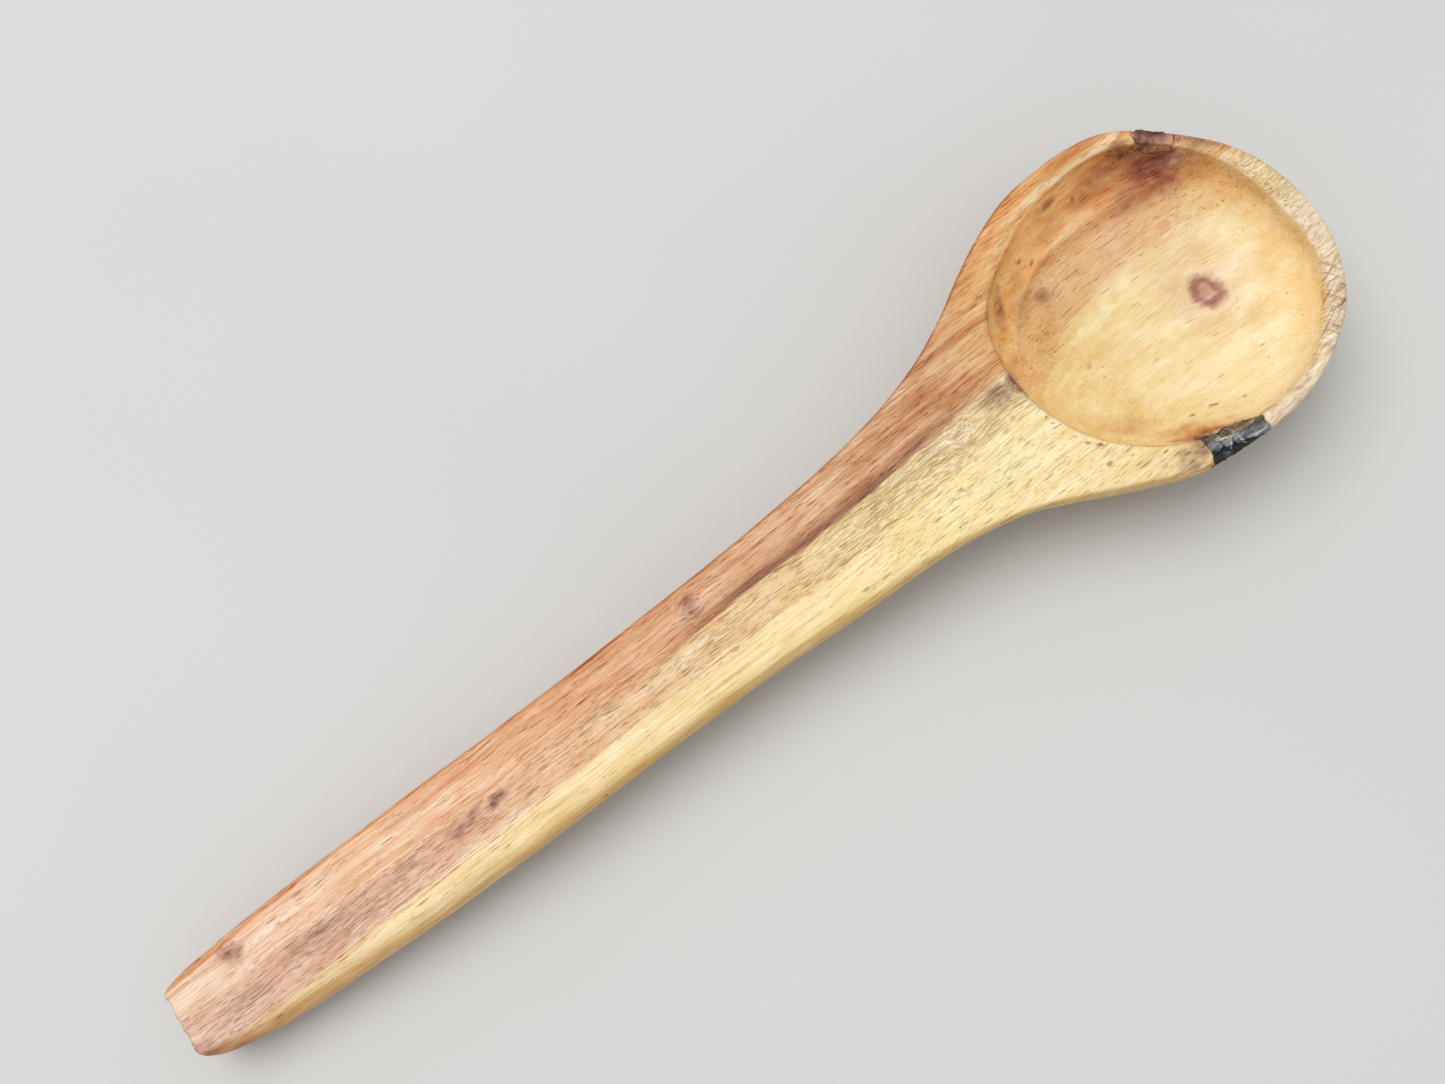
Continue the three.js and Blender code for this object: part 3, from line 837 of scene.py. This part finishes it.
def wood_material():
    """Oiled ring-porous hardwood: growth rings, fibres, pores, knots, stains and scratches."""
    paint = Painter("oiled_wood")
    place = paint.carved()
    x, _, z = paint.split(place)
    fibre = paint.field("grain")
    sap, heart, inside = paint.split(paint.field("zones"))
    outside = paint.scaled(inside, -1.0, 1.0)
    top = paint.scaled(inside, -0.42, 1.0)  # the grain shows less inside the hollow

    # Sizes are along the fibres, then twice across them.
    bands = paint.noise(fibre, (60, 1.5, 1.5), seed=3)
    wide = paint.noise(fibre, (26, 3.0, 3.0), seed=71)
    medium = paint.noise(fibre, (16, 0.6, 0.6), seed=11)
    fine = paint.noise(fibre, (6, 0.2, 0.2), seed=19)
    mottle = paint.noise(place, (7, 4, 4), detail=3, seed=27)
    cloud = paint.noise(place, (5, 3, 3), detail=3, seed=81)
    blotch = paint.noise(place, (1.5, 1.1, 1.1), detail=3, seed=61)

    wobble = paint.total((bands, 0.4), (medium, 0.5), (fine, 0.3))
    colour, sap, heart = zone_colours(paint, x, (sap, heart, inside), wobble)
    hearty = paint.ease(heart, -0.4, 0.6)
    colour = heart_line(paint, x, heart, colour)
    colour = golden_end_grain_and_side_shade(paint, z, inside, outside, colour)
    glow = paint.times(inside, paint.ease(x, 176, 158), 0.8)  # golden towards the handle
    colour = paint.shade(glow, colour, 0.93, 0.85, 0.68)
    colour = rim_highlight_and_shade(paint, colour, medium, mottle)
    streaky = paint.total((medium, 0.25), (fine, 0.25), (blotch, 0.45))
    colour = stained(paint, streaky, colour)
    colour = weathered_rim(paint, place, medium, colour)
    inputs = {"Vector": paint.vector("DIVIDE", place, (1.6, 1.6, 1.6)), "Scale": 1.0, "Detail": 2.0}
    swirl = paint.add("TexNoise", inputs, output="Color")
    colour = ring_knot(paint, place, swirl, colour)
    colour = brown_dots(paint, place, swirl, colour)

    ring = paint.split(fibre)[2]
    phase = paint.math("FRACT", paint.total((ring, 1 / RING_PITCH), (bands, 0.1)))
    late = paint.times(paint.ease(phase, 0.35, 0.92), paint.ease(phase, 1.0, 0.93))
    streak = paint.total((bands, 0.8), (medium, 0.45))
    dark_bands = paint.times(paint.ease(streak, -0.1, 0.9), hearty, top, 0.7)
    colour = paint.shade(dark_bands, colour, 0.86, 0.76, 0.70)
    lines = paint.ease(paint.scaled(medium, 0.5, fine), -0.2, 0.9)
    lines = paint.times(lines, top, paint.scaled(hearty, 0.15, 0.4))
    colour = paint.shade(lines, colour, 0.78, 0.66, 0.52)
    ticks = paint.noise(fibre, (3.2, 0.34, 0.34), seed=91)
    tone = paint.total(  # a higher tone is darker and deeper in colour
        (0.84,), (paint.ease(ticks, 0.1, 1.0), paint.scaled(hearty, 0.42, 0.22)),
        (bands, paint.scaled(hearty, 0.02, 0.13), top),
        (medium, paint.scaled(hearty, -0.05, 0.14), top),
        (fine, 0.15, top), (mottle, 0.17), (late, 0.12, outside), (blotch, inside, 0.07),
        (wide, paint.scaled(hearty, 0.22, 0.08)), (cloud, paint.scaled(inside, 0.14, 0.04)),
    )
    colour = paint.add("Gamma", {"Color": colour, "Gamma": tone})

    pore = pores(paint, fibre, x, sap, heart, hearty, inside)
    colour = paint.shade(paint.times(pore, 0.8), colour, 0.50, 0.38, 0.28)
    crossed = cross_scratches(paint, place)
    colour = paint.mix(paint.times(crossed, 0.55), colour, seen(146, 112, 80))
    scratch = paint.spots(place, SCRATCHES, 0.9)
    colour = paint.mix(paint.times(scratch, 0.7), colour, seen(240, 196, 150))

    rough = paint.total((0.42,), (fine, 0.04), (mottle, 0.04), (pore, 0.2))
    height = paint.total(
        (fine, 0.01, outside), (medium, 0.012), (pore, -0.05), (scratch, -0.03), (crossed, -0.03),
    )
    return paint.finish(colour, rough, height)


def heart_line(paint, x, heart, colour):
    """A dark line where the heartwood starts, strongest halfway along the spoon."""
    line = paint.times(paint.ease(heart, -0.3, 0.3), paint.ease(heart, 2.4, 0.6))
    line = paint.times(line, paint.ease(x, 84, 104), paint.ease(x, 150, 122), 0.66)
    return paint.mix(line, colour, seen(140, 104, 92))


def golden_end_grain_and_side_shade(paint, z, inside, outside, colour):
    """End grain in the hollow drinks more oil and is more golden; the outside walls get painted
    shade, but not the worn lip.
    """
    normal = paint.split(paint.add("NewGeometry", {}, output="Normal"))
    end_grain = paint.ease(paint.math("ABSOLUTE", normal[0]), 0.25, 0.85, 0.0, 0.5)
    colour = paint.mix(paint.times(end_grain, inside), colour, seen(246, 200, 136, 0.9))
    out = paint.split(paint.field("rim"))[0]
    lip = paint.times(paint.ease(out, 2.0, 1.2), paint.ease(z, -3.0, -1.5))
    # painted shade: outside walls darker and warmer as they turn down from the flat top
    side = paint.times(paint.ease(normal[2], 0.97, 0.72), outside, paint.scaled(lip, -1.0, 1.0))
    colour = paint.shade(side, colour, 0.88, 0.72, 0.52)
    # painted shade: outside walls that face +Y darker still
    side = paint.times(paint.ease(normal[1], 0.25, 0.6), outside)
    return paint.shade(side, colour, 0.86, 0.70, 0.56)


def stained(paint, streaky, colour):
    """The larger stains, broken up along the fibres; the pale ones are partly painted highlights."""
    purple, red, gold = paint.split(paint.field("stains"))
    pale, grey, _ = paint.split(paint.field("lights"))
    broken = paint.scaled(streaky, -1.0, 1.0)
    for share, shade in (
        (pale, seen(255, 244, 196)), (grey, seen(176, 148, 128)), (gold, seen(206, 142, 84)),
        (red, seen(166, 106, 72)), (purple, seen(142, 98, 90)),
    ):
        colour = paint.mix(paint.times(share, broken), colour, shade)
    return colour


def weathered_rim(paint, place, medium, colour):
    """The rim at the -Y side of the tip: bleached, with grey dirt in the grain."""
    weathered = paint.split(paint.field("lights"))[2]
    dirt = paint.noise(place, (1.3, 0.8, 0.8), detail=4, seed=101)
    grimy = paint.tones(paint.scaled(medium, 0.3, dirt), (
        (-1.2, 255, 244, 224), (0.0, 244, 222, 192), (1.2, 186, 156, 130),
    ))
    return paint.mix(paint.times(weathered, 0.8), colour, grimy)


def brown_dots(paint, place, swirl, colour):
    """Small brown marks with ragged edges."""
    moved = paint.vector("SUBTRACT", paint.vector("ADD", swirl, place), (0.5, 0.5, 0.5))
    dots = paint.spots(moved, BROWN_MARKS, 0.8)
    return paint.mix(paint.times(dots, 0.85), colour, seen(136, 84, 50))


def rim_highlight_and_shade(paint, colour, medium, mottle):
    """Painted highlight on the bevel round the hollow, painted shade on the thin line at its edge and
    on the outer facet.
    """
    out, inward, _ = paint.split(paint.field("rim"))
    bevelled, faceted, up = paint.split(paint.field("facets"))
    ragged = paint.total((out,), (medium, 0.12), (mottle, 0.15))
    bevel = paint.times(paint.ease(ragged, -0.1, 0.15), paint.ease(ragged, 1.6, 1.25), bevelled)
    # painted highlight on the bevel
    colour = paint.mix(paint.times(bevel, 0.5), colour, seen(255, 226, 176))
    outer = paint.times(paint.ease(inward, 2.7, 2.3), faceted, paint.ease(out, 0.2, 0.6), up)
    # painted shade on the outer facet, which falls away
    colour = paint.shade(outer, colour, 0.90, 0.78, 0.66)
    # painted shade: a thin dark line at the hollow's edge
    edge = paint.times(paint.ease(out, -0.6, -0.2), paint.ease(ragged, 0.15, 0.0), up)
    edge = paint.times(edge, paint.scaled(bevelled, -0.35, 0.6))
    return paint.shade(edge, colour, 0.62, 0.5, 0.42)


def ring_knot(paint, place, swirl, colour):
    """A tight knot in the bowl's floor: a dark, uneven ring round a pale middle, in a soft halo."""
    moved = paint.vector("MULTIPLY_ADD", swirl, (2.0, 2.0, 2.0), place)
    away = paint.oval(moved, (185.9, -2.0, -10.3), (2.3, 3.0, 5.0))
    smoke = paint.scaled(paint.noise(place, (3.0, 2.0, 2.0), seed=95), 0.6, away)
    halo = paint.times(paint.ease(smoke, 4.4, 0.9), 0.8)
    colour = paint.shade(halo, colour, 0.82, 0.68, 0.68)
    ring = paint.times(paint.ease(away, 1.35, 0.7), 0.88)
    colour = paint.mix(ring, colour, seen(150, 100, 92))
    return paint.mix(paint.times(paint.ease(away, 0.55, 0.25), 0.8), colour, seen(212, 162, 138))


def pores(paint, fibre, x, sap, heart, hearty, inside):
    """Dark dashes along the fibres, crowded between the sapwood and the heartwood."""
    flecks = paint.noise(fibre, (1.8, 0.19, 0.19), detail=1, seed=37)
    pits = paint.noise(fibre, (2.8, 0.32, 0.32), detail=0, seed=51)
    clusters = paint.noise(fibre, (14, 1.8, 1.8), seed=43)
    between = paint.times(paint.ease(sap, -1.2, 0.4), paint.ease(heart, 0.8, -0.3))
    neck = paint.times(paint.ease(x, 104, 122), paint.ease(heart, 0.2, -0.4))
    crowd = paint.total(
        (0.26,), (between, 0.56), (neck, 0.36), (hearty, 0.12), (clusters, 0.3), (inside, -0.72),
    )
    fleck = paint.ease(paint.scaled(crowd, 0.9, flecks), 1.05, 1.4)
    pit = paint.ease(paint.scaled(crowd, 0.5, pits), 1.22, 1.45)
    return paint.math("MAXIMUM", paint.times(fleck, 0.65), pit)


def cross_scratches(paint, place):
    """Two sets of fine scratches that cross on the rim at the -Y side of the tip."""
    area = paint.spots(place, ((191.0, -17.0, 0, 10.0, 5.0, 3, 50, 1.0),), 0.5)
    shares = []
    for turn, seed in ((65, 5.0), (-25, 9.0)):
        lines = paint.noise(paint.turned(place, math.radians(turn)), (8.0, 0.26, 3.0), 1.0, seed)
        shares.append(paint.ease(lines, 0.2, 0.7))
    return paint.times(paint.join("MAXIMUM", shares), area)


BARK_MARKS = (
    (167, -23.9, -0.5, 1.2, 0.24, 3, 70, 1), (166.4, -23, -0.3, 1.7, 0.2, 3, -20, 0.9),
    (165.6, -22.4, -0.6, 0.6, 0.2, 3, -10, 0.7), (171, -25.2, -1.4, 1.8, 0.18, 3, -10, 0.7),
    (168.4, -24.4, -1, 1.3, 0.18, 3, -60, 0.8), (166, -25.6, -2.2, 1, 0.2, 2, -14, 0.6),
    (169.4, -22, -0.6, 2.4, 0.16, 3, -17, 0.5), (170, -26, -2.4, 1.2, 0.2, 2, -8, 0.5),
)


def bark_material():
    """Weathered bark: a dark inner slope, blue-grey outer plates and near-black lumps below them,
    partly dark bark and partly painted shade.
    """
    paint = Painter("weathered_bark")
    place = paint.carved()
    x, y, z = paint.split(place)
    streaks = paint.noise(place, (3.0, 0.35, 0.35), detail=3, seed=5)
    patches = paint.noise(place, (2.2, 1.2, 1.2), detail=3, seed=9)
    grit = paint.noise(place, (0.35, 0.25, 0.25), detail=3, seed=8)
    tone = paint.total((streaks, 0.6), (patches, 0.6), (grit, 0.15))
    plates = paint.tones(tone, (
        (-1.0, 96, 98, 102), (-0.2, 140, 144, 148), (0.4, 176, 180, 182), (1.1, 222, 222, 220),
    ))
    slope = paint.tones(tone, (
        (-1.0, 84, 78, 72), (-0.1, 128, 120, 108), (0.5, 168, 158, 140), (1.1, 214, 200, 176),
    ))
    ridge = paint.total((y,), (x, RIDGE_SLOPE), (-RIDGE_Y - RIDGE_SLOPE * RIDGE_X,))
    colour = paint.mix(paint.ease(ridge, -0.2, 0.3), plates, slope)
    # partly dark bark, partly painted shade: darker lower down, under the plates
    low = paint.times(paint.ease(z, -0.7, -1.3), paint.ease(ridge, -0.4, -0.9))
    low = paint.times(low, paint.ease(patches, 1.2, 0.2, 0.25, 0.88))
    colour = paint.mix(low, colour, seen(40, 38, 40))
    web = {"Vector": paint.vector("DIVIDE", place, (3.2, 1.5, 1.5)), "Scale": 1.0}
    edge = paint.add("TexVoronoi", web, output="Distance", feature="DISTANCE_TO_EDGE")
    cracks = paint.ease(edge, 0.05, 0.01)
    colour = paint.mix(paint.times(cracks, 0.6), colour, seen(52, 50, 50))
    pale = paint.spots(place, BARK_MARKS, 0.6)
    colour = paint.mix(pale, colour, seen(226, 218, 204))
    height = paint.total((streaks, 0.03), (patches, 0.04), (grit, 0.02), (cracks, -0.08))
    return paint.finish(colour, paint.ease(grit, -1, 1, 0.55, 0.75), height)


def knot_material():
    """Dead knot wood: mottled purplish grey-brown, with fine fibres running out over the rim."""
    paint = Painter("dead_knot_wood")
    place = paint.carved()
    turned = paint.turned(place, -KNOT_TURN)
    fibres = paint.noise(turned, (1.6, 0.45, 0.5), detail=3, seed=2)
    patches = paint.noise(place, (2.2, 2.2, 2.2), detail=4, seed=6)
    along, across, _ = paint.split(turned)
    outer = paint.ease(along, 24.4 + KNOT_ALONG, 25.6 + KNOT_ALONG)
    inner = paint.ease(along, 23.9 + KNOT_ALONG, 23.3 + KNOT_ALONG)
    tone = paint.total((fibres, 0.2), (patches, 1.25), (outer, -0.7), (inner, -0.55))
    colour = paint.tones(tone, (
        (-1.4, 92, 64, 64), (-0.6, 146, 110, 102), (0.1, 190, 152, 134), (0.8, 228, 192, 166),
    ))
    edge = paint.scaled(patches, 0.8, across)
    fade = paint.ease(edge, KNOT_ACROSS - 1.0, KNOT_ACROSS - 3.2)
    colour = paint.mix(paint.times(fade, 0.8), colour, seen(204, 158, 126))
    height = paint.total((fibres, 0.04), (patches, 0.05))
    return paint.finish(colour, 0.55, height)


def floor_material():
    """A matt, pale sheet of card with a faint tooth."""
    paint = Painter("pale_card")
    place = paint.add("TexCoord", {}, output="Object")
    tooth = paint.noise(place, (0.0012, 0.0012, 0.0012), detail=3)
    cloud = paint.noise(place, (0.15, 0.15, 0.15))
    colour = paint.mix(paint.ease(cloud, -1, 1), seen(222, 222, 221), seen(226, 226, 225))
    return paint.finish(colour, 0.9, paint.times(tooth, 0.01))


# -------- scene
# The photo's camera in the carving frame, found by matching the spoon's outline; the lens is in
# millimetres on Blender's own 36 mm sensor.
EYE = (92.4, -30.7, 168.9)
TARGET = (101.1, 8.9, 0.0)
ROLL = math.radians(-25)
LENS = 29.9

WOOD_STEP = 0.43  # the grid steps that the meshes are made on, in millimetres
GROWTH_STEP = 0.15


def make_camera():
    """Looks down on the spoon from just above it, as a hand-held phone does."""
    data = bpy.data.cameras.new("camera")
    data.lens = LENS
    data.clip_start = 0.01
    camera = bpy.data.objects.new("camera", data)
    bpy.context.scene.collection.objects.link(camera)
    eye = LAY @ Vector(EYE)
    way = LAY @ Vector(TARGET) - eye
    tilted = Matrix.Rotation(-TILT, 3, "Y")
    level = (tilted.inverted() @ way).to_track_quat("-Z", "Y").to_matrix()
    turn = tilted @ level @ Matrix.Rotation(ROLL, 3, "Z")
    camera.matrix_world = Matrix.Translation(eye) @ turn.to_4x4()
    bpy.context.scene.camera = camera


def make_light():
    """One large, round, soft lamp that faces the middle of the floor."""
    data = bpy.data.lights.new("key", "AREA")
    data.shape = "DISK"
    data.size = 1.3
    data.energy = 14.5
    data.color = (1.0, 0.97, 0.93)
    light = bpy.data.objects.new("key", data)
    light.location = (-0.2, 0.55, 1.3)
    light.rotation_euler = (-light.location).to_track_quat("-Z", "Y").to_euler()
    bpy.context.scene.collection.objects.link(light)


def make_world():
    """An even, pale studio all round."""
    world = bpy.data.worlds.new("studio")
    world.use_nodes = True
    inputs = world.node_tree.nodes["Background"].inputs
    inputs["Color"].default_value = (0.96, 0.98, 1.0, 1)
    inputs["Strength"].default_value = 0.65
    bpy.context.scene.world = world
    bpy.context.scene.view_settings.view_transform = "Standard"


make_camera()
make_light()
make_world()

make_piece(
    "wood_spoon", wood_field, low=(-1, -27.5, -17.5), high=(201, 27.5, 1), step=WOOD_STEP,
    node="spoon_body", material=wood_material(),
)
make_piece(
    "bark", bark_field, low=(159.5, -28, -8), high=(175, -17.5, 1), step=GROWTH_STEP,
    node="bark_inclusion", material=bark_material(),
)
make_piece(
    "knot", knot_field, low=(183, 13, -8), high=(198, 25, 1), step=GROWTH_STEP,
    node="dead_knot", material=knot_material(),
)

bpy.ops.mesh.primitive_plane_add(size=12)
floor = bpy.context.object
floor.name = "floor"
floor.data.materials.append(floor_material())
